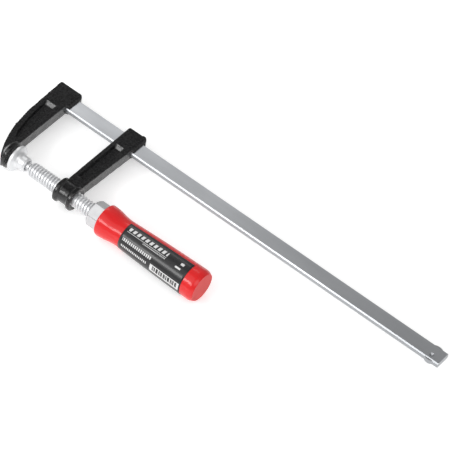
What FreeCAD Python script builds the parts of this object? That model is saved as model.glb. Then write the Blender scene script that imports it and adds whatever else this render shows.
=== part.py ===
"""F clamp: flat rail, fixed jaw, sliding arm, threaded spindle, swivel pad and turned handle.

Millimetres. The origin is the centre of the fixed jaw's clamping face, on the spindle axis.
+X runs along the spindle to the handle, +Y runs from the spindle to the rail, +Z is up
from the plane that the rail and the jaws share.
"""
import FreeCAD, Part
import math
import os

import Sketcher
from FreeCAD import Placement, Rotation, Vector

doc = FreeCAD.newDocument("f_clamp")

# Driving dimensions. Every name is a cell of the sheet.
DIMS = {
    # rail
    "rail_start": -14.0, "rail_end": 283.8, "rail_inner": 50.0, "rail_outer": 61.0,
    "rail_half": 2.0, "rail_round": 0.7, "stake_x": 277.0, "stake_y": 53.4,
    "stake_hole": 1.5, "stake_deep": 0.9, "stake_tip": 0.35,
    "bulge_start": 274.4, "bulge_end": 279.6,
    "bulge_half": 1.6, "bulge_curve": 4.2, "bulge_soft": 7.0,
    # castings, shared
    "cast_half": 3.9, "web_half": 1.45, "lip_half": 2.6, "head_side": 64.4, "head_low": 47.0,
    "lip_low": 50.8, "corner_r": 3.0, "spare": 1.0,
    "head_round": 1.6, "back_round": 1.4,
    # fixed jaw
    "jaw_back": -17.2, "jaw_back_mid": -16.2, "jaw_mid_y": 32.0, "jaw_knee_x": -14.2,
    "jaw_knee_y": 18.0, "jaw_tip_x": -3.8, "jaw_tip_y": -7.8, "jaw_back_curve": 75.0,
    "jaw_tip_curve": 2.4, "jaw_tip_end": -9.0, "jaw_tip_front": -2.2, "jaw_inner": -1.7,
    "jaw_lip": 1.0, "jaw_step": -0.7, "jaw_deep": -3.0, "jaw_slot_long": 16.0,
    "face_r": 9.0, "face_rim": 0.5, "face_back": -2.4, "face_cone_x": -6.0,
    "face_cone_r": 4.4, "spot_low": 14.6, "spot_mid": 19.6, "spot_high": 20.4,
    "spot_in": -12.8, "spot_out": -15.7, "spot_edge": -15.4, "spot_half": 2.2,
    "jaw_panel_top": 46.4, "jaw_ramp": 43.9, "jaw_panel_a": -13.9,
    "jaw_panel_b": -12.3, "jaw_panel_by": 28.0, "jaw_panel_c": -9.7,
    "jaw_panel_cy": 14.5, "jaw_panel_d": -7.2, "jaw_panel_dy": 9.4, "jaw_panel_e": -5.6,
    "jaw_panel_ey": 11.0, "jaw_floor_a": -12.7, "jaw_floor_b": -11.2, "jaw_floor_c": -8.9,
    "jaw_floor_cy": 15.4, "jaw_floor_d": -7.2, "jaw_floor_dy": 11.6, "jaw_floor_e": -6.7,
    "jaw_floor_ey": 12.6,
    # sliding arm
    "arm_back": 37.0, "arm_side": 65.2, "arm_front": 50.4, "arm_front_low": 48.5, "arm_lip": 52.1,
    "arm_step": 50.6, "arm_deep": 48.0, "arm_low": 3.0, "slot_inner": 49.92,
    "slot_outer": 62.3, "slot_half": 2.07, "slot_mid": 44.5, "slot_reach": 9.0,
    "rim_r": 8.1, "rim_chamfer": 0.6, "rim_thick": 2.4, "waist_r": 6.7, "waist_slope": 1.1,
    "boss_end": 50.4, "cup_r": 6.3, "cup_deep": 0.8, "cup_floor_r": 5.7, "boss_bore": 4.9,
    "arm_panel_top": 49.0, "arm_ramp": 46.5,
    "arm_panel_back": 39.9, "arm_panel_front": 46.6, "arm_panel_low": 11.6,
    "arm_panel_corner": 45.6, "arm_floor_back": 41.2, "arm_floor_front": 45.4,
    "arm_floor_low": 14.6, "arm_floor_corner": 44.4,
    # swivel pad, ball and liner
    "pad_face": 2.1, "pad_r": 8.6, "pad_edge": 0.4, "pad_rim_back": 3.9, "cone_r": 5.5,
    "cone_x": 5.1, "stem_x": 6.8, "stem_r": 4.45, "bead_x": 10.2, "bead_top": 10.9,
    "bead_r": 4.75, "pad_end": 11.5, "pad_end_r": 4.3, "mouth_r": 3.6, "throat_x": 9.6,
    "throat_r": 2.8723, "socket_r": 3.5, "ball_r": 2.9, "flat_r": 0.6,
    "socket_flat_x": 4.1518, "ball_flat_x": 4.7628, "liner_in": 2.95,
    "liner_out": 3.45, "liner_left": 5.1, "liner_left_in": 1.566, "liner_left_out": 2.3775,
    "liner_right": 9.2, "liner_right_in": 2.4784, "liner_right_out": 3.0566,
    "slit_half": 0.25, "slit_deep": 4.0,
    # spindle
    "neck_r": 2.3, "neck_x": 9.3664, "neck_end": 13.4, "root_r": 3.75, "thread_lead": 14.8,
    "thread_start": 15.9, "thread_r": 4.85, "thread_from": 14.2, "thread_turns_long": 50.8,
    "pitch": 2.0, "groove_root": 0.36, "groove_top": 0.8, "groove_over": 0.15,
    "tang_start": 72.0, "tang_r": 3.9, "tang_end": 118.0, "tang_chamfer": 1.0,
    # collar
    "collar_front": 63.8, "collar_half_flat": 7.5, "collar_corner": 8.6603,
    "collar_side": 4.3301, "collar_bevel": 1.3, "collar_bevel_r": 7.4, "collar_clear_r": 9.4,
    # handle and label
    "handle_face_r": 9.3, "front_round_x": 73.2, "front_curve": 1.3, "flare_r": 10.45,
    "flare_x": 73.5, "turn_x": 80.75, "turn_r": 9.7, "flare_curve": 35.0, "neck_low_x": 89.6,
    "neck_low_r": 8.985, "hollow_curve": 35.0, "barrel_curve": 1500.0,
    "barrel_end_x": 143.4, "barrel_end_r": 10.6, "end_curve": 6.0, "handle_end": 147.4,
    "end_face_r": 9.3, "bore_end": 119.0, "label_from": 90.0, "label_from_r": 9.0041,
    "label_to": 138.4, "label_to_r": 10.5313, "label_glue": 0.02, "label_thick": 0.15,
    "label_under_curve": 1500.02, "label_curve": 1500.17,
}
FLAT = 1e-4
LONG_EDGE = 8.0
LABEL_ARC = 205.0
LABEL_TURN = 74.0

sheet = doc.addObject("Spreadsheet::Sheet", "dims")
for row, (name, number) in enumerate(DIMS.items(), start=1):
    sheet.set("A%d" % row, name)
    sheet.set("B%d" % row, str(number))
    sheet.setAlias("B%d" % row, name)
doc.recompute()


def value(terms):
    """The number behind a sum of cell names, such as 'ball_x + ball_r' or '- face_r'."""
    total = 0.0
    sign = 1.0
    for word in terms.split():
        if word == "+":
            sign = 1.0
        elif word == "-":
            sign = -1.0
        else:
            total += sign * DIMS.get(word, 0.0)
            if word not in DIMS and word != "zero":
                raise ValueError("no such dimension: " + word)
            sign = 1.0
    return total


def formula(terms):
    """The same sum, written for the expression engine."""
    words = []
    for word in terms.split():
        if word in ("+", "-"):
            words.append(word)
        elif word == "zero":
            words.append("0")
        else:
            words.append("dims." + word)
    return " ".join(words)


def pin(sketch, geometry, point, axis, terms):
    """Hold one point of a sketch at a distance from the sketch's origin."""
    if terms == "zero":
        line = -2 if axis == "DistanceX" else -1
        sketch.addConstraint(Sketcher.Constraint("PointOnObject", geometry, point, line))
        return
    index = sketch.addConstraint(
        Sketcher.Constraint(axis, -1, 1, geometry, point, value(terms)))
    sketch.setExpression("Constraints[%d]" % index, formula(terms))


def arc_between(start, end, radius, left):
    """Arc of a circle from start to end, with its centre on the left or right of that way."""
    middle = (start + end) / 2
    chord = end - start
    across = Vector(-chord.y, chord.x, 0).normalize()
    rise = math.sqrt(max(radius * radius - (chord.Length / 2) ** 2, 0.0))
    centre = middle + across * (rise if left else -rise)
    first, last = (start, end) if left else (end, start)
    a0 = math.atan2(first.y - centre.y, first.x - centre.x)
    a1 = math.atan2(last.y - centre.y, last.x - centre.x)
    if a1 <= a0:
        a1 += 2 * math.pi
    return Part.ArcOfCircle(Part.Circle(centre, Vector(0, 0, 1), radius), a0, a1)


def outline(sketch, corners):
    """Closed outline. A corner is (x, y) or (x, y, radius, side) when an arc leaves it."""
    count = len(corners)
    points = [Vector(value(c[0]), value(c[1]), 0) for c in corners]
    starts = []
    ends = []
    for i, corner in enumerate(corners):
        nxt = points[(i + 1) % count]
        if len(corner) == 2:
            index = sketch.addGeometry(Part.LineSegment(points[i], nxt), False)
            starts.append((index, 1))
            ends.append((index, 2))
            continue
        left = corner[3] == "left"
        arc = arc_between(points[i], nxt, value(corner[2]), left)
        index = sketch.addGeometry(arc, False)
        starts.append((index, 1 if left else 2))
        ends.append((index, 2 if left else 1))
    for i in range(count):
        after = starts[(i + 1) % count]
        sketch.addConstraint(Sketcher.Constraint("Coincident", *ends[i], *after))
    for i, corner in enumerate(corners):
        pin(sketch, *starts[i], "DistanceX", corner[0])
        pin(sketch, *starts[i], "DistanceY", corner[1])
        if len(corner) == 4:
            index = sketch.addConstraint(
                Sketcher.Constraint("Radius", starts[i][0], value(corner[2])))
            sketch.setExpression("Constraints[%d]" % index, formula(corner[2]))


def new_body(label):
    body = doc.addObject("PartDesign::Body", label)
    body.Label = label
    body.Placement = Placement()
    return body


def new_sketch(body, name, plane, corners, offset=None, shift=None):
    """Sketch on one of the body's own planes, moved along its normal and sideways."""
    sketch = body.newObject("Sketcher::SketchObject", name)
    for feature in body.Origin.OriginFeatures:
        if feature.Role == plane:
            sketch.AttachmentSupport = [(feature, "")]
    sketch.MapMode = "FlatFace"
    if offset:
        sketch.AttachmentOffset = Placement(Vector(0, 0, value(offset)), Rotation())
        sketch.setExpression("AttachmentOffset.Base.z", formula(offset))
    if shift:
        sketch.setExpression("AttachmentOffset.Base.x", formula(shift))
    doc.recompute()
    outline(sketch, corners)
    doc.recompute()
    return sketch


def spin(body, name, kind, corners):
    """Turned feature round the X axis. kind is Revolution or Groove."""
    sketch = new_sketch(body, name + "_profile", "XY_Plane", corners)
    feature = body.newObject("PartDesign::" + kind, name)
    feature.Profile = sketch
    feature.ReferenceAxis = (sketch, ["H_Axis"])
    feature.Angle = 360.0
    sketch.Visibility = False
    doc.recompute()
    return feature


def thick(body, name, kind, plane, corners, length, offset=None):
    """Pad or Pocket of a whole thickness, half of it on each side of the sketch."""
    sketch = new_sketch(body, name + "_profile", plane, corners, offset)
    feature = body.newObject("PartDesign::" + kind, name)
    feature.Profile = sketch
    feature.Length = 2 * value(length)
    feature.setExpression("Length", "2 * (" + formula(length) + ")")
    feature.SideType = "Symmetric"
    sketch.Visibility = False
    doc.recompute()
    return feature


def run(body, name, kind, plane, corners, length, offset, back=False):
    """Pad or Pocket that leaves the sketch on one side only."""
    sketch = new_sketch(body, name + "_profile", plane, corners, offset)
    feature = body.newObject("PartDesign::" + kind, name)
    feature.Profile = sketch
    feature.Length = value(length)
    feature.setExpression("Length", formula(length))
    feature.Reversed = back
    sketch.Visibility = False
    doc.recompute()
    return feature


def box_corners(x0, y0, x1, y1):
    return [(x0, y0), (x1, y0), (x1, y1), (x0, y1)]


def panel(body, name, top, floor):
    """Sunk panel with sloping walls in both side faces of a casting."""
    for side, sign in (("upper", ""), ("lower", "- ")):
        high = new_sketch(body, name + "_" + side + "_top", "XY_Plane", top, sign + "cast_half")
        low = new_sketch(body, name + "_" + side + "_floor", "XY_Plane", floor,
                         sign + "web_half")
        feature = body.newObject("PartDesign::SubtractiveLoft", name + "_" + side)
        feature.Profile = high
        feature.Sections = [low]
        feature.Ruled = True
        high.Visibility = False
        low.Visibility = False
        doc.recompute()


def round_back(body, furthest):
    """Rounds the casting's long edges on its back, those no further forward than furthest."""
    doc.recompute()
    plate = body.Tip
    edges = []
    for number, edge in enumerate(plate.Shape.Edges, start=1):
        box = edge.BoundBox
        lies_flat = box.ZMax - box.ZMin < FLAT
        if lies_flat and box.XMax < furthest and edge.Length > LONG_EDGE:
            edges.append("Edge%d" % number)
    fillet = body.newObject("PartDesign::Fillet", "back_edges")
    fillet.Base = (plate, edges)
    fillet.setExpression("Radius", "dims.back_round")


def make_rail():
    """Flat bar with rolled edges. A staked stop near the free end keeps the arm on."""
    body = new_body("rail")
    run(body, "bar", "Pad", "YZ_Plane", [
        ("rail_inner", "- rail_half + rail_round"),
        ("rail_inner + rail_round", "- rail_half"),
        ("rail_outer - rail_round", "- rail_half"),
        ("rail_outer", "- rail_half + rail_round"),
        ("rail_outer", "rail_half - rail_round"),
        ("rail_outer - rail_round", "rail_half"),
        ("rail_inner + rail_round", "rail_half"),
        ("rail_inner", "rail_half - rail_round"),
    ], "rail_end - rail_start", "rail_start")
    thick(body, "bulge_inner", "Pad", "XY_Plane", [
        ("bulge_start", "rail_inner", "bulge_curve", "left"),
        ("bulge_end", "rail_inner"),
        ("bulge_end", "stake_y"),
        ("bulge_start", "stake_y"),
    ], "bulge_half")
    thick(body, "bulge_outer", "Pad", "XY_Plane", [
        ("bulge_start", "rail_outer", "bulge_soft", "right"),
        ("bulge_end", "rail_outer"),
        ("bulge_end", "stake_y"),
        ("bulge_start", "stake_y"),
    ], "bulge_half")
    for side, sign in (("upper", ""), ("lower", "- ")):
        deep = "rail_half - stake_deep" if side == "upper" else "- rail_half + stake_deep"
        sketch = new_sketch(body, "stake_" + side + "_profile", "XZ_Plane", [
            ("zero", sign + "rail_half"),
            ("stake_hole", sign + "rail_half"),
            ("stake_tip", deep),
            ("zero", deep),
        ], "- stake_y", "stake_x")
        stake = body.newObject("PartDesign::Groove", "stake_" + side)
        stake.Profile = sketch
        stake.ReferenceAxis = (sketch, ["V_Axis"])
        stake.Angle = 360.0
        sketch.Visibility = False
        doc.recompute()
    return body


def make_fixed_jaw():
    """Casting pressed on the rail's end: solid head, sunk panels and a round clamping face."""
    body = new_body("fixed_jaw")
    thick(body, "plate", "Pad", "XY_Plane", [
        ("jaw_back + head_round", "head_side", "head_round", "left"),
        ("jaw_back", "head_side - head_round"),
        ("jaw_back_mid", "jaw_mid_y"),
        ("jaw_knee_x", "jaw_knee_y", "jaw_back_curve", "left"),
        ("jaw_tip_x", "jaw_tip_y", "jaw_tip_curve", "left"),
        ("jaw_tip_front", "jaw_tip_end"),
        ("jaw_inner", "jaw_tip_y"),
        ("jaw_inner", "head_side"),
    ], "cast_half")
    run(body, "lip", "Pad", "XZ_Plane", [
        ("jaw_deep", "- cast_half"),
        ("jaw_step", "- cast_half"),
        ("jaw_lip", "- lip_half"),
        ("jaw_lip", "lip_half"),
        ("jaw_step", "cast_half"),
        ("jaw_deep", "cast_half"),
    ], "head_side - lip_low", "- lip_low", back=True)
    thick(body, "casting_spot", "Pad", "XY_Plane", [
        ("spot_in", "spot_low"),
        ("spot_in", "spot_high"),
        ("spot_edge", "spot_high"),
        ("spot_out", "spot_mid"),
    ], "spot_half")
    spin(body, "clamping_disc", "Revolution", [
        ("face_cone_x", "zero"),
        ("face_cone_x", "face_cone_r"),
        ("face_back", "face_r"),
        ("- face_rim", "face_r"),
        ("zero", "face_r - face_rim"),
        ("zero", "zero"),
    ])
    thick(body, "corner", "Pocket", "XY_Plane", [
        ("jaw_lip - corner_r", "head_side", "corner_r", "right"),
        ("jaw_lip", "head_side - corner_r"),
        ("jaw_lip + spare", "head_side - corner_r"),
        ("jaw_lip + spare", "head_side + spare"),
        ("jaw_lip - corner_r", "head_side + spare"),
    ], "cast_half + spare")
    panel(body, "panel", [
        ("jaw_panel_a", "jaw_panel_top"),
        ("jaw_panel_b", "jaw_panel_by"),
        ("jaw_panel_c", "jaw_panel_cy"),
        ("jaw_panel_d", "jaw_panel_dy"),
        ("jaw_panel_e", "jaw_panel_ey"),
        ("jaw_panel_e", "jaw_panel_top"),
    ], [
        ("jaw_floor_a", "jaw_ramp"),
        ("jaw_floor_b", "jaw_panel_by"),
        ("jaw_floor_c", "jaw_floor_cy"),
        ("jaw_floor_d", "jaw_floor_dy"),
        ("jaw_floor_e", "jaw_floor_ey"),
        ("jaw_floor_e", "jaw_ramp"),
    ])
    run(body, "rail_socket", "Pocket", "YZ_Plane",
        box_corners("rail_inner", "- rail_half", "rail_outer", "rail_half"),
        "jaw_slot_long", "rail_start", back=True)
    return body


def make_sliding_arm():
    """Casting that rides on the rail: slotted head, sunk panels, and a boss for the spindle."""
    body = new_body("sliding_arm")
    thick(body, "plate", "Pad", "XY_Plane", [
        ("arm_back + head_round", "arm_side", "head_round", "left"),
        ("arm_back", "arm_side - head_round"),
        ("arm_back", "arm_low"),
        ("arm_front_low", "arm_low"),
        ("arm_front", "head_low"),
        ("arm_front", "arm_side"),
    ], "cast_half")
    round_back(body, value("arm_back") + value("spare"))
    run(body, "lip", "Pad", "XZ_Plane", [
        ("arm_deep", "- cast_half"),
        ("arm_step", "- cast_half"),
        ("arm_lip", "- lip_half"),
        ("arm_lip", "lip_half"),
        ("arm_step", "cast_half"),
        ("arm_deep", "cast_half"),
    ], "arm_side - lip_low", "- lip_low", back=True)
    spin(body, "boss", "Revolution", [
        ("arm_back", "zero"),
        ("arm_back", "rim_r - rim_chamfer"),
        ("arm_back + rim_chamfer", "rim_r"),
        ("arm_back + rim_thick", "rim_r"),
        ("arm_back + rim_thick + waist_slope", "waist_r"),
        ("boss_end - rim_thick - waist_slope", "waist_r"),
        ("boss_end - rim_thick", "rim_r"),
        ("boss_end - rim_chamfer", "rim_r"),
        ("boss_end", "rim_r - rim_chamfer"),
        ("boss_end", "cup_r"),
        ("boss_end - cup_deep", "cup_floor_r"),
        ("boss_end - cup_deep", "zero"),
    ])
    thick(body, "corner", "Pocket", "XY_Plane", [
        ("arm_lip - corner_r", "arm_side", "corner_r", "right"),
        ("arm_lip", "arm_side - corner_r"),
        ("arm_lip + spare", "arm_side - corner_r"),
        ("arm_lip + spare", "arm_side + spare"),
        ("arm_lip - corner_r", "arm_side + spare"),
    ], "cast_half + spare")
    panel(body, "panel", [
        ("arm_panel_back", "arm_panel_top"),
        ("arm_panel_back", "arm_panel_low"),
        ("arm_panel_corner", "arm_panel_low"),
        ("arm_panel_front", "arm_panel_top"),
    ], [
        ("arm_floor_back", "arm_ramp"),
        ("arm_floor_back", "arm_floor_low"),
        ("arm_floor_corner", "arm_floor_low"),
        ("arm_floor_front", "arm_ramp"),
    ])
    thick(body, "rail_slot", "Pocket", "YZ_Plane",
          box_corners("slot_inner", "- slot_half", "slot_outer", "slot_half"),
          "slot_reach", "slot_mid")
    spin(body, "spindle_bore", "Groove",
         box_corners("arm_back - spare", "zero", "boss_end + spare", "boss_bore"))
    return body


def make_swivel_pad():
    """Pressure pad: disc, fillet cone and a tubular stem whose bore is the ball's socket."""
    body = new_body("swivel_pad")
    spin(body, "turned_pad", "Revolution", [
        ("pad_face", "zero"),
        ("pad_face", "pad_r - pad_edge"),
        ("pad_face + pad_edge", "pad_r"),
        ("pad_rim_back", "pad_r"),
        ("pad_rim_back + pad_edge", "pad_r - pad_edge"),
        ("cone_x", "cone_r"),
        ("stem_x", "stem_r"),
        ("bead_x", "stem_r"),
        ("bead_top", "bead_r"),
        ("pad_end", "pad_end_r"),
        ("pad_end", "mouth_r"),
        ("throat_x", "throat_r", "socket_r", "left"),
        ("socket_flat_x", "flat_r"),
        ("socket_flat_x", "zero"),
    ])
    return body


def make_ball_liner():
    """Split liner between the spindle's ball and the pad's socket."""
    body = new_body("ball_liner")
    spin(body, "shell", "Revolution", [
        ("liner_left", "liner_left_in", "liner_in", "right"),
        ("liner_right", "liner_right_in"),
        ("liner_right", "liner_right_out", "liner_out", "left"),
        ("liner_left", "liner_left_out"),
    ])
    run(body, "slit", "Pocket", "XY_Plane",
        box_corners("liner_left - spare", "- slit_half", "liner_right + spare", "slit_half"),
        "slit_deep", None)
    return body


def make_spindle():
    """Ball, neck, trapezoidal right-hand thread and a smooth tang inside the handle."""
    body = new_body("spindle")
    spin(body, "blank", "Revolution", [
        ("ball_flat_x", "zero"),
        ("ball_flat_x", "flat_r", "ball_r", "right"),
        ("neck_x", "neck_r"),
        ("neck_end", "neck_r"),
        ("thread_lead", "root_r"),
        ("thread_start", "thread_r"),
        ("tang_start", "thread_r"),
        ("tang_start", "tang_r"),
        ("tang_end - tang_chamfer", "tang_r"),
        ("tang_end", "tang_r - tang_chamfer"),
        ("tang_end", "zero"),
    ])
    sketch = new_sketch(body, "thread_profile", "XY_Plane", [
        ("thread_from - groove_root", "root_r"),
        ("thread_from + groove_root", "root_r"),
        ("thread_from + groove_top", "thread_r + groove_over"),
        ("thread_from - groove_top", "thread_r + groove_over"),
    ])
    thread = body.newObject("PartDesign::SubtractiveHelix", "thread")
    thread.Profile = sketch
    thread.ReferenceAxis = (sketch, ["H_Axis"])
    thread.Mode = "pitch-height-angle"
    thread.Pitch = DIMS["pitch"]
    thread.setExpression("Pitch", "dims.pitch")
    thread.Height = DIMS["thread_turns_long"]
    thread.setExpression("Height", "dims.thread_turns_long")
    sketch.Visibility = False
    doc.recompute()
    return body


def make_hex_collar():
    """Hexagon fixed on the spindle in front of the handle."""
    body = new_body("hex_collar")
    run(body, "hexagon", "Pad", "YZ_Plane", [
        ("zero", "collar_corner"),
        ("- collar_half_flat", "collar_side"),
        ("- collar_half_flat", "- collar_side"),
        ("zero", "- collar_corner"),
        ("collar_half_flat", "- collar_side"),
        ("collar_half_flat", "collar_side"),
    ], "tang_start - collar_front", "collar_front")
    spin(body, "bevel", "Groove", [
        ("collar_front", "collar_bevel_r"),
        ("collar_front + collar_bevel", "collar_clear_r"),
        ("collar_front", "collar_clear_r"),
    ])
    spin(body, "bore", "Groove",
         box_corners("collar_front - spare", "zero", "tang_start + spare", "thread_r"))
    return body


def make_handle():
    """Turned handle: flared front, waist, long barrel and a blind bore for the tang."""
    body = new_body("handle")
    spin(body, "turning", "Revolution", [
        ("tang_start", "tang_r"),
        ("tang_start", "handle_face_r", "front_curve", "right"),
        ("front_round_x", "flare_r"),
        ("flare_x", "flare_r", "flare_curve", "right"),
        ("turn_x", "turn_r", "hollow_curve", "left"),
        ("neck_low_x", "neck_low_r", "barrel_curve", "right"),
        ("barrel_end_x", "barrel_end_r", "end_curve", "right"),
        ("handle_end", "end_face_r"),
        ("handle_end", "zero"),
        ("bore_end", "zero"),
        ("bore_end", "tang_r"),
    ])
    return body


def make_label():
    """Thin sticker bent round the handle's barrel, a film of glue clear of the wood."""
    body = new_body("label")
    wrap = spin(body, "wrap", "Revolution", [
        ("label_from", "label_from_r + label_glue", "label_under_curve", "right"),
        ("label_to", "label_to_r + label_glue"),
        ("label_to", "label_to_r + label_glue + label_thick", "label_curve", "left"),
        ("label_from", "label_from_r + label_glue + label_thick"),
    ])
    wrap.Angle = LABEL_ARC
    body.Placement = Placement(Vector(), Rotation(Vector(1, 0, 0), LABEL_TURN))
    return body


def main():
    bodies = [make_rail(), make_fixed_jaw(), make_sliding_arm(), make_swivel_pad(),
              make_ball_liner(), make_spindle(), make_hex_collar(), make_handle(), make_label()]
    doc.recompute()
    for item in doc.Objects:
        if "Invalid" in item.State or "Error" in item.State:
            raise ValueError("object is not valid: " + item.Name)
    os.makedirs("parts", exist_ok=True)
    for body in bodies:
        shape = body.Shape
        if shape.isNull() or not shape.isValid() or len(shape.Solids) != 1:
            raise ValueError("bad shape: " + body.Label)
        shape.exportStep("parts/" + body.Label + ".step")
        box = shape.BoundBox
        print(body.Label, "volume %.1f" % shape.Volume, "X %.2f %.2f Y %.2f %.2f Z %.2f %.2f" % (
            box.XMin, box.XMax, box.YMin, box.YMax, box.ZMin, box.ZMax))


main()
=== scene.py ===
"""Looks for an F clamp: its castings, bright metal, lacquered handle, label and studio."""

import math

import bpy
from bpy.props import FloatProperty, FloatVectorProperty, IntProperty, PointerProperty
from mathutils import Matrix, Vector, noise


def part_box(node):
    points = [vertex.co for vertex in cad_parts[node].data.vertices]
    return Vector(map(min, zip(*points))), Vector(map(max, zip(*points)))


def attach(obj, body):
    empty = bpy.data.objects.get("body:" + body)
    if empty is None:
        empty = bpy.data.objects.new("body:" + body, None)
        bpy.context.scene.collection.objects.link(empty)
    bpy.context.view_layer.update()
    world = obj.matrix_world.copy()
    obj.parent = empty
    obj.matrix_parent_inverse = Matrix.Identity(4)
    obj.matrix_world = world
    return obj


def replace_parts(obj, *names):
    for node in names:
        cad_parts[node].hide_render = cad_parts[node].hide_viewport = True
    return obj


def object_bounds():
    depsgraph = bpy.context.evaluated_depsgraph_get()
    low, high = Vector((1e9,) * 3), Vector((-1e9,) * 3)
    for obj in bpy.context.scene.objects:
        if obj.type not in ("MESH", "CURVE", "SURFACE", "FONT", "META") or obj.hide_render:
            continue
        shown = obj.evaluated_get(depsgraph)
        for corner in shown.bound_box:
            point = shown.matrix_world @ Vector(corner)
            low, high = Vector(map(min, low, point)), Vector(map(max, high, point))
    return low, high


bl_info = {
    "name": "F Clamp Looks",
    "version": (1, 0, 0),
    "blender": (4, 5, 0),
    "location": "View3D > Sidebar > F Clamp",
    "description": "Finishes, label and studio for an F clamp built on its CAD frame",
    "category": "Object",
}

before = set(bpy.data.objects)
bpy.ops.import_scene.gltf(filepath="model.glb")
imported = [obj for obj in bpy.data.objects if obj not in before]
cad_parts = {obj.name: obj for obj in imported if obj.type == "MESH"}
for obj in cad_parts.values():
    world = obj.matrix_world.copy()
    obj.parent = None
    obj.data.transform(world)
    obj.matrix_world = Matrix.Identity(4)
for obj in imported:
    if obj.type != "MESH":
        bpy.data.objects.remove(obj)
CAD_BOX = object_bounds()
MM = 0.001
WHITE = (1.0, 1.0, 1.0)

# Sockets of a colour Mix node, by place, because their names repeat.
MIX_FACTOR, MIX_FIRST, MIX_SECOND, MIX_RESULT = 0, 6, 7, 2

# An edge counts where the cosine between its bevelled and true normals is below this.
EDGE_COSINE = 0.95
EDGE_CONTRAST = 7.0

# A face whose normal's height is above this is level. Coat comes in as it falls below.
LEVEL_HEIGHT = 0.95
SLOPE_CONTRAST = 12.0

# The castings' unevenness: waves and grains per metre, and how far all of it sits inwards.
WAVES = 170.0
GRAINS = 900.0
SUNK = 0.6

# The label's print. A box is (start, end, low edge, high edge), in shares of its length and turn.
HEADING_BOX = (0.05, 0.66, 0.090, 0.160)
HEADING_SLANT = 0.16
HEADING_DASH = (0.066, 0.62)
STRIPE_BOX = (0.56, 0.95, 0.435, 0.525)
STRIPE_DASHES = ((0.037, 0.45), (0.023, 0.40))
PLAIN_BOXES = (
    (0.04, 0.66, 0.182, 0.190),  # rule under the heading
    (0.52, 0.98, 0.420, 0.555),  # panel behind the stripes
    (0.86, 0.91, 0.105, 0.150),  # badge
    (0.82, 0.90, 0.200, 0.230),  # tab
)
# A row is its box, the pitch of its dashes and the share of the pitch that is white.
DASHED_ROWS = (
    ((0.30, 0.66, 0.205, 0.225), 0.017, 0.50),  # caption
    ((0.04, 0.50, 0.315, 0.370), 0.030, 0.62),  # upper row
    ((0.04, 0.46, 0.445, 0.490), 0.026, 0.58),  # lower row
)
LABEL_STEPS_ALONG, LABEL_STEPS_ROUND = 40, 96

# Rings of the handle narrower than this share of its widest are its bore or its end faces.
OUTSIDE_SHARE = 0.8
END_FACE_DEPTH = 0.02 * MM

FLOOR_HALF = 4.0
FLOOR_BELOW = 0.2 * MM

# Each softbox: name, place from the camera's target, width, height, and its setting.
SOFTBOXES = (
    ("front_softbox", (-0.45, -1.15, 0.75), 0.85, 0.36, "front_box"),
    ("rail_softbox", (-0.90, 0.75, 1.0), 0.7, 0.6, "rail_box"),
    ("tent", (-0.55, -0.90, 1.25), 1.3, 1.3, "tent"),
    ("fill_softbox", (1.0, -0.75, 1.3), 1.2, 1.2, "camera_box"),
)


# ---------------------------------------------------------------- sizes and colours

class FCLAMP_PG_sizes(bpy.types.PropertyGroup):
    """Sizes of the details that the looks add to the CAD frame."""

    cast_grid: FloatProperty(
        name="Casting grid", description="Spacing of the mesh that the castings are rebuilt on",
        default=0.30 * MM, unit="LENGTH")
    cast_rounding: IntProperty(
        name="Casting rounding", description="How many times the castings' edges are eased",
        default=3, min=0, max=30)
    cast_wave: FloatProperty(
        name="Casting wave", description="Height of the slow unevenness left by the sand mould",
        default=0.11 * MM, unit="LENGTH")
    cast_grit: FloatProperty(
        name="Casting grit", description="Height of the sand grain under the paint",
        default=0.055 * MM, unit="LENGTH")
    label_start: FloatProperty(
        name="Label start",
        description="Turn about the handle where the label begins, from the rail's side",
        default=math.radians(74.0), unit="ROTATION")
    label_sweep: FloatProperty(
        name="Label sweep", description="How far round the handle the label reaches",
        default=math.radians(205.0), unit="ROTATION")
    label_gap: FloatProperty(
        name="Label gap", description="Film of glue under the label",
        default=0.02 * MM, unit="LENGTH")
    label_thickness: FloatProperty(
        name="Label thickness", description="Thickness of the printed film",
        default=0.15 * MM, unit="LENGTH")


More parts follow.
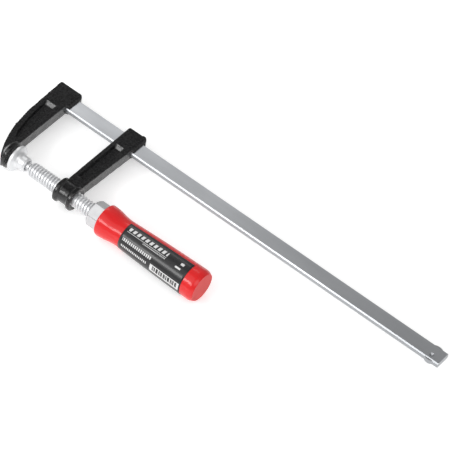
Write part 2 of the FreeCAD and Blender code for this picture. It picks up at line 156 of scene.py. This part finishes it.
class FCLAMP_PG_colours(bpy.types.PropertyGroup):
    """Base colours of the finishes."""

    paint: FloatVectorProperty(
        name="Black paint", description="Paint on the castings",
        default=(0.0025, 0.0025, 0.0028), subtype="COLOR", min=0, max=1)
    # Lighter colour for the castings' edges and specks: partly paint worn thin, partly a painted
    # highlight along the edges.
    worn_paint_and_highlight: FloatVectorProperty(
        name="Thin paint", description="Paint where it is thin over an edge",
        default=(0.13, 0.13, 0.132), subtype="COLOR", min=0, max=1)
    rail: FloatVectorProperty(
        name="Rail steel", description="Drawn and plated steel of the rail",
        default=(0.42, 0.43, 0.445), subtype="COLOR", min=0, max=1)
    rail_dull: FloatVectorProperty(
        name="Dull rail steel", description="Cloudy patches in the rail's plating",
        default=(0.35, 0.36, 0.375), subtype="COLOR", min=0, max=1)
    zinc: FloatVectorProperty(
        name="Zinc plate", description="Plating on the spindle, pad and collar",
        default=(0.86, 0.865, 0.875), subtype="COLOR", min=0, max=1)
    zinc_dull: FloatVectorProperty(
        name="Dull zinc plate", description="Cloudy patches in the zinc",
        default=(0.70, 0.705, 0.715), subtype="COLOR", min=0, max=1)
    # Dark zinc along the collar's edges is painted shade.
    zinc_edge_shade: FloatVectorProperty(
        name="Zinc seam", description="Darker zinc along the collar's edges",
        default=(0.10, 0.10, 0.11), subtype="COLOR", min=0, max=1)
    lacquer: FloatVectorProperty(
        name="Red lacquer", description="Lacquer on the handle",
        default=(0.80, 0.007, 0.009), subtype="COLOR", min=0, max=1)
    lacquer_deep: FloatVectorProperty(
        name="Deep red lacquer", description="Lacquer where the grain lets it soak in",
        default=(0.64, 0.004, 0.005), subtype="COLOR", min=0, max=1)
    end_grain: FloatVectorProperty(
        name="Red end grain", description="Matt face at the handle's end",
        default=(0.74, 0.078, 0.074), subtype="COLOR", min=0, max=1)
    label: FloatVectorProperty(
        name="Label film", description="Dark film of the label",
        default=(0.017, 0.017, 0.018), subtype="COLOR", min=0, max=1)
    print_white: FloatVectorProperty(
        name="Label print", description="White bars on the label",
        default=(0.72, 0.72, 0.72), subtype="COLOR", min=0, max=1)
    floor: FloatVectorProperty(
        name="Floor", description="Pale floor",
        default=(0.90, 0.90, 0.90), subtype="COLOR", min=0, max=1)


class FCLAMP_PG_studio(bpy.types.PropertyGroup):
    """The camera's place and the strength of the lights."""

    azimuth: FloatProperty(
        name="Azimuth",
        description="Camera's turn from facing the rail squarely on the handle's side",
        default=math.radians(31.251), unit="ROTATION")
    elevation: FloatProperty(
        name="Elevation", description="Camera's height above the floor",
        default=math.radians(49.233), unit="ROTATION")
    roll: FloatProperty(
        name="Roll", description="Camera's roll about its line of sight",
        default=math.radians(9.874), unit="ROTATION")
    distance: FloatProperty(
        name="Distance", description="From the camera to the point it looks at",
        default=1.834, unit="LENGTH")
    target: FloatVectorProperty(
        name="Target", description="Point that the camera looks at",
        default=(0.126907, 0.047177, 0.0), subtype="XYZ", unit="LENGTH")
    lens: FloatProperty(
        name="Lens", description="Focal length in millimetres", default=245.36, min=1.0)
    sky: FloatProperty(
        name="Room light", description="Strength of the plain light all round", default=0.45, min=0)
    front_box: FloatProperty(
        name="Front softbox", description="Radiance of the softbox on the handle's side",
        default=7.0, min=0)
    rail_box: FloatProperty(
        name="Rail softbox", description="Radiance of the softbox that the rail shows",
        default=2.2, min=0)
    tent: FloatProperty(
        name="Tent", description="Radiance of the wide sheet over the handle's side",
        default=0.65, min=0)
    camera_box: FloatProperty(
        name="Fill softbox", description="Radiance of the broad softbox beside the camera",
        default=1.6, min=0)
    floor_glow: FloatProperty(
        name="Floor glow", description="Light that the floor gives by itself", default=0.42, min=0)


# ---------------------------------------------------------------- node helpers

def add_node(tree, kind, **settings):
    """A new node with its own settings filled in."""
    node = tree.nodes.new(kind)
    for name, value in settings.items():
        setattr(node, name, value)
    return node


def feed(tree, node, values):
    """Fills inputs by name: an output socket is linked and anything else is set."""
    for name, value in values.items():
        socket = node.inputs[name]
        if isinstance(value, bpy.types.NodeSocket):
            tree.links.new(value, socket)
        else:
            socket.default_value = value
    return node


def maths(tree, operation, first, second=0.5, third=0.0, clamp=False):
    """The output of one Math node."""
    node = add_node(tree, "ShaderNodeMath", operation=operation, use_clamp=clamp)
    feed(tree, node, {0: first, 1: second, 2: third})
    return node.outputs[0]


def object_place(tree):
    """The place of a point on the piece, in metres."""
    return add_node(tree, "ShaderNodeTexCoord").outputs["Object"]


def stretched_place(tree, stretch):
    """The same place, drawn out along the clamp's length."""
    split = add_node(tree, "ShaderNodeSeparateXYZ")
    feed(tree, split, {"Vector": object_place(tree)})
    along = maths(tree, "DIVIDE", split.outputs["X"], stretch)
    joined = add_node(tree, "ShaderNodeCombineXYZ")
    feed(tree, joined, {"X": along, "Y": split.outputs["Y"], "Z": split.outputs["Z"]})
    return joined.outputs[0]


def dimmed(colour, share):
    """A share of a colour."""
    return tuple(share * channel for channel in colour)


def colour_between(tree, mask, low, high):
    """low where the mask is 0 and high where it is 1."""
    node = add_node(tree, "ShaderNodeMix", data_type="RGBA")
    for place, value in ((MIX_FACTOR, mask), (MIX_FIRST, low), (MIX_SECOND, high)):
        if isinstance(value, bpy.types.NodeSocket):
            tree.links.new(value, node.inputs[place])
        else:
            node.inputs[place].default_value = (*value[:3], 1.0)
    return node.outputs[MIX_RESULT]


def new_group(name, inputs, output):
    """An empty shader group with float inputs (name, default) and one float output."""
    group = bpy.data.node_groups.new(name, "ShaderNodeTree")
    for title, default in inputs:
        socket = group.interface.new_socket(title, in_out="INPUT", socket_type="NodeSocketFloat")
        socket.default_value = default
    group.interface.new_socket(output, in_out="OUTPUT", socket_type="NodeSocketFloat")
    return group, add_node(group, "NodeGroupInput"), add_node(group, "NodeGroupOutput")


def use_group(tree, name, **values):
    """The output of a shared effect, with this finish's own values."""
    node = add_node(tree, "ShaderNodeGroup", node_tree=bpy.data.node_groups[name])
    feed(tree, node, {title.replace("_", " "): value for title, value in values.items()})
    return node.outputs[0]


# ---------------------------------------------------------------- shared effects

def build_clouding():
    """Soft patches, for plating that varies and paint that lies unevenly."""
    group, given, out = new_group(
        "clouding", [("Scale", 100.0), ("Stretch", 1.0), ("Contrast", 1.0)], "Mask")
    place = stretched_place(group, given.outputs["Stretch"])
    patches = add_node(group, "ShaderNodeTexNoise")
    feed(group, patches, {"Vector": place, "Scale": given.outputs["Scale"],
                          "Detail": 4.0, "Roughness": 0.55})
    centred = maths(group, "SUBTRACT", patches.outputs[0], 0.5)
    spread = maths(group, "MULTIPLY", centred, given.outputs["Contrast"])
    feed(group, out, {"Mask": maths(group, "ADD", spread, 0.5, clamp=True)})


def build_edge_wear_and_shading():
    """A mask along edges, for paint wear and for painted highlight and painted shade along edges,
    broken up so it isn't a drawn line.
    """
    group, given, out = new_group(
        "edge_wear_and_shading", [("Width", 0.0004), ("Amount", 1.0), ("Breakup", 500.0)], "Mask")
    rounded = add_node(group, "ShaderNodeBevel", samples=4)
    feed(group, rounded, {"Radius": given.outputs["Width"]})
    flat = add_node(group, "ShaderNodeNewGeometry").outputs["Normal"]
    dot = add_node(group, "ShaderNodeVectorMath", operation="DOT_PRODUCT")
    feed(group, dot, {0: rounded.outputs[0], 1: flat})
    bend = maths(group, "SUBTRACT", EDGE_COSINE, dot.outputs["Value"])
    strong = maths(group, "MULTIPLY", bend, EDGE_CONTRAST, clamp=True)
    patches = add_node(group, "ShaderNodeTexNoise")
    feed(group, patches, {"Vector": object_place(group), "Scale": given.outputs["Breakup"],
                          "Detail": 3.0})
    broken = maths(group, "MULTIPLY", strong, patches.outputs[0])
    mask = maths(group, "MULTIPLY", broken, given.outputs["Amount"], clamp=True)
    feed(group, out, {"Mask": mask})


def build_fine_grain():
    """Fine height running one way along the piece, for drawn steel, turned zinc and wood."""
    group, given, out = new_group("fine_grain", [("Scale", 2000.0), ("Stretch", 20.0)], "Height")
    place = stretched_place(group, given.outputs["Stretch"])
    grain = add_node(group, "ShaderNodeTexNoise")
    feed(group, grain, {"Vector": place, "Scale": given.outputs["Scale"],
                        "Detail": 5.0, "Roughness": 0.65})
    feed(group, out, {"Height": grain.outputs[0]})


# ---------------------------------------------------------------- finishes

def new_material(name):
    """A material with its node tree and its shader."""
    material = bpy.data.materials.new(name)
    material.use_nodes = True
    shader = material.node_tree.nodes["Principled BSDF"]
    return material, material.node_tree, shader


def bump_from(tree, height, strength, distance):
    """Normals for a height. distance is the height of a full step, in metres."""
    bump = add_node(tree, "ShaderNodeBump")
    feed(tree, bump, {"Height": height, "Strength": strength, "Distance": distance})
    return bump.outputs[0]


def rough_between(tree, mask, low, high):
    """Roughness that goes from low to high as the mask goes from 0 to 1."""
    return maths(tree, "MULTIPLY_ADD", mask, high - low, low)


def cast_paint(colours):
    """Black paint over sand-cast iron: dull on the level faces, glossier on the slopes, with
    lighter edges that are partly wear and partly painted highlight.
    """
    material, tree, shader = new_material("cast_paint")
    patches = use_group(tree, "clouding", Scale=260.0, Stretch=1.0, Contrast=2.0)
    edge_wear_and_shading_mask = use_group(tree, "edge_wear_and_shading", Width=0.0006, Amount=1.3, Breakup=420.0)
    grit = use_group(tree, "fine_grain", Scale=1100.0, Stretch=1.0)
    specks = use_group(tree, "clouding", Scale=950.0, Stretch=1.0, Contrast=7.0)
    # Lighter paint along the edges, partly wear and partly a painted highlight; scattered lighter
    # specks use the same colour.
    thin = maths(tree, "MAXIMUM", edge_wear_and_shading_mask, maths(tree, "MULTIPLY", specks, 0.10))
    colour = colour_between(tree, thin, colours.paint, colours.worn_paint_and_highlight)
    split = add_node(tree, "ShaderNodeSeparateXYZ")
    feed(tree, split, {"Vector": add_node(tree, "ShaderNodeNewGeometry").outputs["Normal"]})
    upward = maths(tree, "ABSOLUTE", split.outputs["Z"])
    slope = maths(tree, "MULTIPLY_ADD", upward, -SLOPE_CONTRAST,
                  SLOPE_CONTRAST * LEVEL_HEIGHT, clamp=True)
    gloss = maths(tree, "MULTIPLY_ADD", patches, 0.6, 0.65, clamp=True)
    feed(tree, shader, {
        "Base Color": colour, "Roughness": rough_between(tree, patches, 0.22, 0.34),
        "Specular IOR Level": 0.09, "Coat Roughness": 0.20,
        "Coat Weight": maths(tree, "MULTIPLY", slope, gloss),
        "Normal": bump_from(tree, grit, strength=0.80, distance=0.22 * MM)})
    return material


def rail_steel(colours):
    """Drawn bar with a bright, slightly cloudy zinc finish, grain along its length and painted
    shade along its edges.
    """
    material, tree, shader = new_material("rail_steel")
    patches = use_group(tree, "clouding", Scale=90.0, Stretch=5.0, Contrast=1.7)
    grain = use_group(tree, "fine_grain", Scale=2600.0, Stretch=40.0)
    edge_wear_and_shading_mask = use_group(tree, "edge_wear_and_shading", Width=0.0004, Amount=0.8, Breakup=300.0)
    dulled = colour_between(tree, patches, colours.rail_dull, colours.rail)
    # Darker steel along the edges is a painted shade line.
    colour = colour_between(tree, edge_wear_and_shading_mask, dulled, dimmed(colours.rail, 0.6))
    feed(tree, shader, {
        "Base Color": colour, "Metallic": 1.0,
        "Roughness": rough_between(tree, patches, 0.42, 0.33),
        "Normal": bump_from(tree, grain, strength=0.28, distance=0.03 * MM)})
    return material


def zinc_plate(colours, name, edge_colour, edge_width, share):
    """Bright zinc over steel, with edge_colour along its edges. share dims the plating."""
    material, tree, shader = new_material(name)
    patches = use_group(tree, "clouding", Scale=240.0, Stretch=1.0, Contrast=1.6)
    edge_wear_and_shading_mask = use_group(tree, "edge_wear_and_shading", Width=edge_width, Amount=2.6, Breakup=600.0)
    grain = use_group(tree, "fine_grain", Scale=2400.0, Stretch=0.4)
    plating = colour_between(
        tree, patches, dimmed(colours.zinc_dull, share), dimmed(colours.zinc, share))
    # edge_colour goes along the edges; on the collar it is a painted shade.
    colour = colour_between(tree, edge_wear_and_shading_mask, plating, edge_colour)
    feed(tree, shader, {
        "Base Color": colour, "Metallic": 1.0,
        "Roughness": rough_between(tree, patches, 0.52, 0.42),
        "Normal": bump_from(tree, grain, strength=0.12, distance=0.03 * MM)})
    return material


def red_lacquer(colours):
    """Glossy red lacquer on turned wood, with the grain just showing."""
    material, tree, shader = new_material("red_lacquer")
    grain = use_group(tree, "fine_grain", Scale=900.0, Stretch=14.0)
    patches = use_group(tree, "clouding", Scale=120.0, Stretch=4.0, Contrast=1.6)
    peel = use_group(tree, "fine_grain", Scale=700.0, Stretch=1.6)
    uneven = maths(tree, "MULTIPLY_ADD", peel, 1.0, grain)
    colour = colour_between(tree, grain, colours.lacquer_deep, colours.lacquer)
    feed(tree, shader, {
        "Base Color": colour, "Roughness": rough_between(tree, patches, 0.34, 0.46),
        "Specular IOR Level": 0.22, "Coat Weight": 0.62, "Coat Roughness": 0.11,
        "Normal": bump_from(tree, uneven, strength=0.42, distance=0.10 * MM)})
    return material


def end_grain(colours):
    """Matt red end of the handle, where the lacquer sinks into the cut wood."""
    material, tree, shader = new_material("end_grain")
    pores = use_group(tree, "fine_grain", Scale=1900.0, Stretch=1.0)
    patches = use_group(tree, "clouding", Scale=200.0, Stretch=1.0, Contrast=1.5)
    colour = colour_between(tree, patches, dimmed(colours.end_grain, 0.86), colours.end_grain)
    feed(tree, shader, {
        "Base Color": colour, "Roughness": rough_between(tree, pores, 0.60, 0.80),
        "Normal": bump_from(tree, pores, strength=0.35, distance=0.08 * MM)})
    return material


def inside(tree, value, low, high):
    """1 where value lies between low and high."""
    middle, half = 0.5 * (low + high), 0.5 * (high - low)
    return maths(tree, "COMPARE", value, middle, half)


def printed_bar(tree, u, v, box):
    """1 inside one box of the label's print."""
    start, end, low, high = box
    return maths(tree, "MULTIPLY", inside(tree, u, start, end), inside(tree, v, low, high))


def dashed(tree, u, pitch, share):
    """1 along each dash of a row of equal dashes."""
    return maths(tree, "LESS_THAN", maths(tree, "FRACT", maths(tree, "DIVIDE", u, pitch)), share)


def label_film(colours):
    """Dark glossy film with plain white bars and dashes that spell nothing."""
    material, tree, shader = new_material("label_film")
    split = add_node(tree, "ShaderNodeSeparateXYZ")
    feed(tree, split, {"Vector": add_node(tree, "ShaderNodeUVMap", uv_map="wrap").outputs[0]})
    u, v = split.outputs["X"], split.outputs["Y"]
    slanted = maths(tree, "MULTIPLY_ADD", v, HEADING_SLANT, u)
    mark = maths(tree, "MULTIPLY", printed_bar(tree, u, v, HEADING_BOX),
                 dashed(tree, slanted, *HEADING_DASH))
    for box in PLAIN_BOXES:
        mark = maths(tree, "MAXIMUM", mark, printed_bar(tree, u, v, box))
    for box, pitch, share in DASHED_ROWS:
        row = maths(tree, "MULTIPLY", printed_bar(tree, u, v, box), dashed(tree, u, pitch, share))
        mark = maths(tree, "MAXIMUM", mark, row)
    wide, narrow = [dashed(tree, u, *dash) for dash in STRIPE_DASHES]
    stripe = maths(tree, "MULTIPLY", printed_bar(tree, u, v, STRIPE_BOX),
                   maths(tree, "MAXIMUM", wide, narrow))
    ink = maths(tree, "SUBTRACT", mark, stripe, clamp=True)
    patches = use_group(tree, "clouding", Scale=150.0, Stretch=3.0, Contrast=1.4)
    colour = colour_between(tree, ink, colours.label, colours.print_white)
    feed(tree, shader, {
        "Base Color": colour, "Roughness": rough_between(tree, patches, 0.22, 0.34),
        "Specular IOR Level": 0.35, "Coat Weight": 0.2, "Coat Roughness": 0.10,
        "Normal": bump_from(tree, patches, strength=0.15, distance=0.05 * MM)})
    return material


def floor_card(colours, glow):
    """Matt pale floor that also glows a little, as a lit table does."""
    material, tree, shader = new_material("floor_card")
    patches = use_group(tree, "clouding", Scale=6.0, Stretch=1.0, Contrast=1.0)
    colour = colour_between(tree, patches, dimmed(colours.floor, 0.97), colours.floor)
    feed(tree, shader, {"Base Color": colour, "Roughness": 0.9,
                        "Emission Color": (*WHITE, 1.0), "Emission Strength": glow})
    return material


# ---------------------------------------------------------------- mesh helpers

def new_piece(name, mesh, body):
    """A piece that rides on a CAD body."""
    piece = bpy.data.objects.new(name, mesh)
    bpy.context.scene.collection.objects.link(piece)
    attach(piece, body)
    return piece


def settled_mesh(piece):
    """The piece's mesh with its modifiers worked in."""
    graph = bpy.context.evaluated_depsgraph_get()
    graph.update()
    return bpy.data.meshes.new_from_object(piece.evaluated_get(graph))


def roughen(mesh, wave, grit):
    """Moves each point in or out a little, in slow waves and fine grit."""
    normals = [vertex.normal.copy() for vertex in mesh.vertices]
    for vertex, normal in zip(mesh.vertices, normals):
        slow = noise.noise(vertex.co * WAVES)
        fine = noise.noise(vertex.co * GRAINS)
        vertex.co += normal * (wave * (slow - SUNK) + grit * (fine - SUNK))


def sheet_round(sizes):
    """The label: a thin closed film bent round the handle, with a map called wrap."""
    low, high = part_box("label")
    rings = barrel_rings(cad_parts["handle"].data)
    steps_along, steps_round = LABEL_STEPS_ALONG, LABEL_STEPS_ROUND
    bottom = [radius_at(rings, low.x + (high.x - low.x) * i / steps_along)
              for i in range(steps_along + 1)]
    points, uvs, faces = [], [], []
    for lift in (sizes.label_gap, sizes.label_gap + sizes.label_thickness):
        for i, radius in enumerate(bottom):
            for j in range(steps_round + 1):
                turn = sizes.label_start + sizes.label_sweep * j / steps_round
                x = low.x + (high.x - low.x) * i / steps_along
                r = radius + lift
                points.append((x, r * math.cos(turn), r * math.sin(turn)))
                uvs.append((i / steps_along, j / steps_round))
    row = steps_round + 1
    layer = row * (steps_along + 1)
    for i in range(steps_along):
        for j in range(steps_round):
            a = i * row + j
            faces.append((a, a + 1, a + row + 1, a + row))
            faces.append((layer + a, layer + a + row, layer + a + row + 1, layer + a + 1))
    for i in range(steps_along):
        for j, flip in ((0, False), (steps_round, True)):
            a, b = i * row + j, (i + 1) * row + j
            side = (a, b, layer + b, layer + a)
            faces.append(side[::-1] if flip else side)
    for j in range(steps_round):
        for i, flip in ((0, True), (steps_along, False)):
            a, b = i * row + j, i * row + j + 1
            side = (a, b, layer + b, layer + a)
            faces.append(side[::-1] if flip else side)
    mesh = bpy.data.meshes.new("label_film")
    mesh.from_pydata(points, [], faces)
    mesh.update()
    layer_map = mesh.uv_layers.new(name="wrap")
    for loop in mesh.loops:
        layer_map.data[loop.index].uv = uvs[loop.vertex_index]
    for face in mesh.polygons:
        face.use_smooth = face.index < 2 * steps_along * steps_round
    return mesh


def barrel_rings(handle):
    """Each ring of the handle's outside as (x, radius), in order along it."""
    widest = {}
    for vertex in handle.vertices:
        x = round(vertex.co.x, 5)
        widest[x] = max(widest.get(x, 0.0), math.hypot(vertex.co.y, vertex.co.z))
    return sorted(ring for ring in widest.items() if ring[1] > OUTSIDE_SHARE * max(widest.values()))


def radius_at(rings, x):
    """The outside's radius at x, in a straight line between the rings either side."""
    for (x0, r0), (x1, r1) in zip(rings, rings[1:]):
        if x0 <= x <= x1:
            return r0 + (r1 - r0) * (x - x0) / (x1 - x0)
    raise RuntimeError("no ring of the handle lies beside the label")


# ---------------------------------------------------------------- finishes on nodes, and the stage

def finish_node(node, material):
    """Puts one finish on a CAD node that keeps its own shape."""
    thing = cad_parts[node]
    thing.data.materials.clear()
    thing.data.materials.append(material)
    return thing


def lay_floor(colours, studio):
    """A flat floor just under the clamp's lowest point."""
    half, level = FLOOR_HALF, CAD_BOX[0][2] - FLOOR_BELOW
    corners = [(-half, -half, level), (half, -half, level),
               (half, half, level), (-half, half, level)]
    mesh = bpy.data.meshes.new("floor")
    mesh.from_pydata(corners, [], [(0, 1, 2, 3)])
    mesh.materials.append(floor_card(colours, studio.floor_glow))
    floor = bpy.data.objects.new("floor", mesh)
    bpy.context.scene.collection.objects.link(floor)


def softbox(name, middle, towards, width, height, radiance):
    """A rectangle of light at middle, facing towards, with an even glow."""
    lamp = bpy.data.lights.new(name, "AREA")
    lamp.shape = "RECTANGLE"
    lamp.size, lamp.size_y = width, height
    lamp.energy = radiance * math.pi * width * height
    box = bpy.data.objects.new(name, lamp)
    box.location = middle
    box.rotation_euler = (Vector(towards) - Vector(middle)).to_track_quat("-Z", "Y").to_euler()
    bpy.context.scene.collection.objects.link(box)


def hang_lights(studio):
    """Plain light all round, and softboxes about the point that the camera looks at."""
    world = bpy.data.worlds.new("room")
    world.use_nodes = True
    background = world.node_tree.nodes["Background"]
    background.inputs["Color"].default_value = (*WHITE, 1.0)
    background.inputs["Strength"].default_value = studio.sky
    bpy.context.scene.world = world
    middle = Vector(studio.target)
    for name, place, width, height, setting in SOFTBOXES:
        softbox(name, middle + Vector(place), middle, width, height, getattr(studio, setting))


def set_camera(scene, studio):
    """Places the camera by azimuth, elevation and roll about the target."""
    az, el = studio.azimuth, studio.elevation
    back = Vector((math.sin(az) * math.cos(el), -math.cos(az) * math.cos(el), math.sin(el)))
    level = Vector((math.cos(az), math.sin(az), 0.0))
    upright = back.cross(level)
    right = level * math.cos(studio.roll) + upright * math.sin(studio.roll)
    up = upright * math.cos(studio.roll) - level * math.sin(studio.roll)
    turn = Matrix((right, up, back)).transposed().to_4x4()
    lens = bpy.data.cameras.new("camera")
    lens.lens = studio.lens
    lens.clip_end = 20.0
    camera = bpy.data.objects.new("camera", lens)
    camera.matrix_world = Matrix.Translation(Vector(studio.target) + back * studio.distance) @ turn
    scene.collection.objects.link(camera)
    scene.camera = camera
    scene.view_settings.view_transform = "Standard"


# ---------------------------------------------------------------- operators

class FCLAMP_OT_castings(bpy.types.Operator):
    """Rebuild the fixed jaw and the sliding arm with soft, sandy cast edges."""

    bl_idname = "fclamp.castings"
    bl_label = "Castings"

    def execute(self, context):
        sizes, colours = context.scene.fclamp_sizes, context.scene.fclamp_colours
        paint = cast_paint(colours)
        for node, body in (("fixed_jaw", "frame"), ("sliding_arm", "arm")):
            rough_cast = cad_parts[node].data.copy()
            piece = new_piece(node + "_casting", rough_cast, body)
            grid = piece.modifiers.new("grid", "REMESH")
            grid.mode = "VOXEL"
            grid.voxel_size = sizes.cast_grid
            ease = piece.modifiers.new("ease", "SMOOTH")
            ease.factor = 0.5
            ease.iterations = sizes.cast_rounding
            mesh = settled_mesh(piece)
            if not mesh.polygons:
                raise RuntimeError("the casting came out empty: " + node)
            piece.modifiers.clear()
            piece.data = mesh
            roughen(mesh, sizes.cast_wave, sizes.cast_grit)
            mesh.polygons.foreach_set("use_smooth", [True] * len(mesh.polygons))
            mesh.materials.clear()
            mesh.materials.append(paint)
            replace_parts(piece, node)
        return {"FINISHED"}


class FCLAMP_OT_rail(bpy.types.Operator):
    """Give the rail its drawn, bright-plated steel."""

    bl_idname = "fclamp.rail"
    bl_label = "Rail"

    def execute(self, context):
        finish_node("rail", rail_steel(context.scene.fclamp_colours))
        return {"FINISHED"}


class FCLAMP_OT_screw(bpy.types.Operator):
    """Give the spindle, pad, liner and collar their zinc plate."""

    bl_idname = "fclamp.screw"
    bl_label = "Screw and pad"

    def execute(self, context):
        colours = context.scene.fclamp_colours
        turned = zinc_plate(colours, "zinc_turned", colours.zinc, 0.3 * MM, 1.0)
        finish_node("spindle", turned)
        finish_node("swivel_pad", turned)
        finish_node("ball_liner", turned)
        # The collar's dark edge lines are painted shade.
        collar = zinc_plate(colours, "zinc_collar", colours.zinc_edge_shade, 0.9 * MM, 0.85)
        finish_node("hex_collar", collar)
        return {"FINISHED"}


class FCLAMP_OT_handle(bpy.types.Operator):
    """Lacquer the wooden handle and leave its end face matt."""

    bl_idname = "fclamp.handle"
    bl_label = "Handle"

    def execute(self, context):
        colours = context.scene.fclamp_colours
        handle = finish_node("handle", red_lacquer(colours))
        handle.data.materials.append(end_grain(colours))
        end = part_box("handle")[1].x - END_FACE_DEPTH
        for face in handle.data.polygons:
            face.material_index = 1 if face.center.x > end else 0
        return {"FINISHED"}


class FCLAMP_OT_label(bpy.types.Operator):
    """Bend the printed film round the handle."""

    bl_idname = "fclamp.label"
    bl_label = "Label"

    def execute(self, context):
        mesh = sheet_round(context.scene.fclamp_sizes)
        mesh.materials.append(label_film(context.scene.fclamp_colours))
        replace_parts(new_piece("printed_label", mesh, "screw"), "label")
        return {"FINISHED"}


class FCLAMP_OT_stage(bpy.types.Operator):
    """Set the floor, soft lights and camera."""

    bl_idname = "fclamp.stage"
    bl_label = "Stage"

    def execute(self, context):
        studio = context.scene.fclamp_studio
        lay_floor(context.scene.fclamp_colours, studio)
        hang_lights(studio)
        set_camera(context.scene, studio)
        return {"FINISHED"}


class FCLAMP_PT_sidebar(bpy.types.Panel):
    """Lists the clamp's pieces and settings."""

    bl_idname = "FCLAMP_PT_sidebar"
    bl_label = "F Clamp"
    bl_space_type = "VIEW_3D"
    bl_region_type = "UI"
    bl_category = "F Clamp"

    def draw(self, context):
        column = self.layout.column()
        for step in OPERATORS:
            column.operator(step.bl_idname)
        for holder, _ in SETTINGS:
            settings = getattr(context.scene, holder)
            for name in settings.__annotations__:
                column.prop(settings, name)


SETTINGS = (
    ("fclamp_sizes", FCLAMP_PG_sizes),
    ("fclamp_colours", FCLAMP_PG_colours),
    ("fclamp_studio", FCLAMP_PG_studio),
)
OPERATORS = (FCLAMP_OT_stage, FCLAMP_OT_castings, FCLAMP_OT_rail, FCLAMP_OT_screw,
             FCLAMP_OT_handle, FCLAMP_OT_label)


def register():
    for name, group in SETTINGS:
        bpy.utils.register_class(group)
        setattr(bpy.types.Scene, name, PointerProperty(type=group))
    for kind in (*OPERATORS, FCLAMP_PT_sidebar):
        bpy.utils.register_class(kind)


def unregister():
    for kind in (FCLAMP_PT_sidebar, *reversed(OPERATORS)):
        bpy.utils.unregister_class(kind)
    for name, group in reversed(SETTINGS):
        delattr(bpy.types.Scene, name)
        bpy.utils.unregister_class(group)


def main():
    register()
    build_clouding()
    build_edge_wear_and_shading()
    build_fine_grain()
    bpy.ops.fclamp.stage()
    bpy.ops.fclamp.castings()
    bpy.ops.fclamp.rail()
    bpy.ops.fclamp.screw()
    bpy.ops.fclamp.handle()
    bpy.ops.fclamp.label()


if __name__ == "__main__":
    main()
